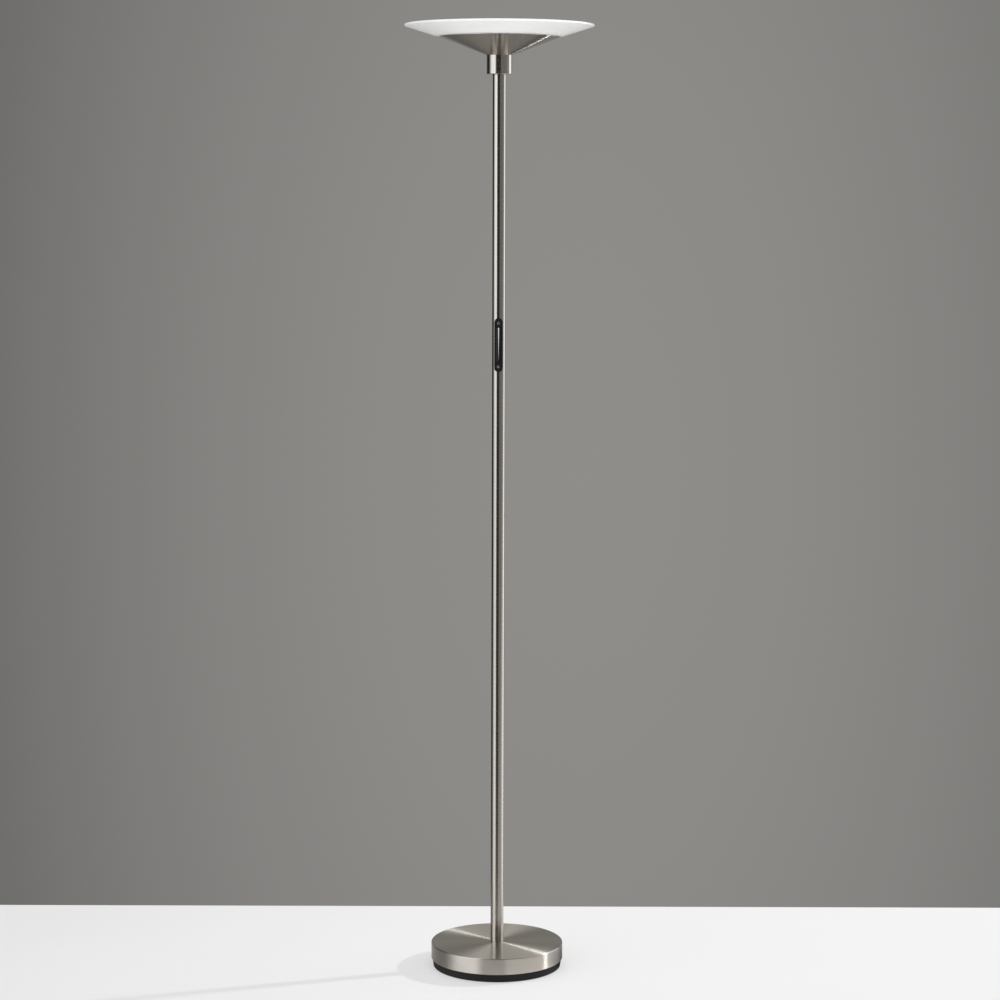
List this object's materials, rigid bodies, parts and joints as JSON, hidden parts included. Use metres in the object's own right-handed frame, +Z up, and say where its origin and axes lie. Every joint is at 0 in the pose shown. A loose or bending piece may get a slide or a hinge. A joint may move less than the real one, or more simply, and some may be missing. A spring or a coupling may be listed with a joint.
{
  "type": "torchiere floor lamp",
  "caption": "Torchiere floor lamp: shallow opal glass dish on a brushed-steel cone, slim straight pole with a rocker dimmer, round weighted base.",
  "frame": {"origin": "on the floor, under the centre of the pole", "axes": "+Z up along the pole, -Y towards the switch side, +X to the right seen from the switch side"},
  "size_m": [0.355, 0.355, 1.803],
  "materials": {
    "brushed_steel": "fine circular brushing under clear lacquer",
    "plated_steel": "bright zinc plating",
    "cast_iron": "as cast, painted",
    "black_plastic": "fine satin moulding",
    "rocker_plastic": "polished moulding",
    "black_rubber": "matte",
    "black_screw": "black oxide",
    "white_plastic": "plain moulding",
    "grey_plastic": "plain moulding",
    "lead_sleeve": "smooth sleeve",
    "board_green": "solder mask",
    "board_white": "white solder mask",
    "emitter_yellow": "clear resin over phosphor",
    "opal_acrylic": "satin opal",
    "opal_glass": "opal white, satin underside and fire-polished rim",
    "clear_silicone": "matte",
    "aluminium": "mill finish"
  },
  "bodies": {
    "lamp": {"base_cover": "brushed_steel", "base_nipple": "plated_steel", "base_nut": "plated_steel", "base_plinth": "black_plastic", "base_washer": "plated_steel", "base_weight": "cast_iron", "collar": "brushed_steel", "cord_grommet": "black_rubber", "diffuser_screws": "plated_steel", "dimmer_board": "board_green", "driver_case": "white_plastic", "driver_screws": "plated_steel", "foot_ring": "black_rubber", "glass_shade": "opal_glass", "head_lead": "lead_sleeve", "head_nipple": "plated_steel", "head_nut": "plated_steel", "head_washer": "plated_steel", "led_board": "board_white", "led_connector": "white_plastic", "led_diffuser": "opal_acrylic", "led_emitters": "emitter_yellow", "led_plate": "aluminium", "lower_joint_bush": "plated_steel", "lower_joint_stud": "plated_steel", "lower_middle_tube": "brushed_steel", "lower_tube": "brushed_steel", "middle_joint_bush": "plated_steel", "middle_joint_stud": "plated_steel", "plinth_screws": "plated_steel", "pole_foot_bush": "plated_steel", "pole_top_bush": "plated_steel", "push_switches": "rocker_plastic", "rocker_pin": "plated_steel", "shade_cone": "brushed_steel", "shade_gasket": "clear_silicone", "supply_lead": "lead_sleeve", "switch_carrier": "grey_plastic", "switch_housing": "black_plastic", "switch_screws": "black_screw", "switch_tube": "brushed_steel", "terminal_block": "white_plastic", "upper_joint_bush": "plated_steel", "upper_joint_stud": "plated_steel", "upper_tube": "brushed_steel"},
    "rocker": {"switch_rocker": "rocker_plastic"}
  },
  "joints": [
    {"name": "rocker_tilt", "type": "hinge", "parent": "lamp", "child": "rocker", "pos_m": [0, -0.01, 1.20448], "axis": [1, 0, 0], "range_deg": [-2.5, 2.5], "stiffness_Nm_per_rad": 0.6}
  ]
}
